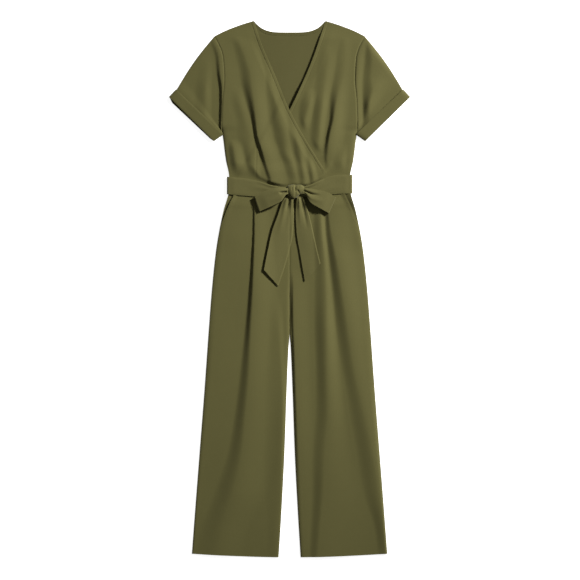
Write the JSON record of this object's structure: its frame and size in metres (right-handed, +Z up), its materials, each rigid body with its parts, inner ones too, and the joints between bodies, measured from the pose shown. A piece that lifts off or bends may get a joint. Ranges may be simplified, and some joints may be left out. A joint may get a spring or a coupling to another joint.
{
  "type": "wrap jumpsuit laid flat",
  "caption": "Short-sleeved wrap-front jumpsuit in crepe with turned-up cuffs, straight wide legs, slash pockets and a sash tied in a bow, laid flat on its back.",
  "frame": {"origin": "on the surface that the garment lies on, under the middle of its length and width", "axes": "+Y from the hems to the neck, +X to the right seen from above (the wearer's left), +Z up out of the front"},
  "size_m": [0.625, 1.394, 0.0225],
  "materials": {
    "crepe": "matte woven crepe, olive green",
    "sash": "matte woven crepe in two plies, olive green"
  },
  "bodies": {
    "root": {"bodice_back": "crepe", "bodice_front_under": "crepe", "bodice_front_over": "crepe", "sleeve_left": "crepe", "cuff_left": "crepe", "leg_back_left": "crepe", "leg_front_left": "crepe", "pocket_facing_left": "crepe", "sash_loop_left": "sash", "sash_tail_left": "sash", "sleeve_right": "crepe", "cuff_right": "crepe", "leg_back_right": "crepe", "leg_front_right": "crepe", "pocket_facing_right": "crepe", "sash_loop_right": "sash", "sash_tail_right": "sash", "sash_band": "sash", "sash_knot": "sash"}
  },
  "joints": []
}
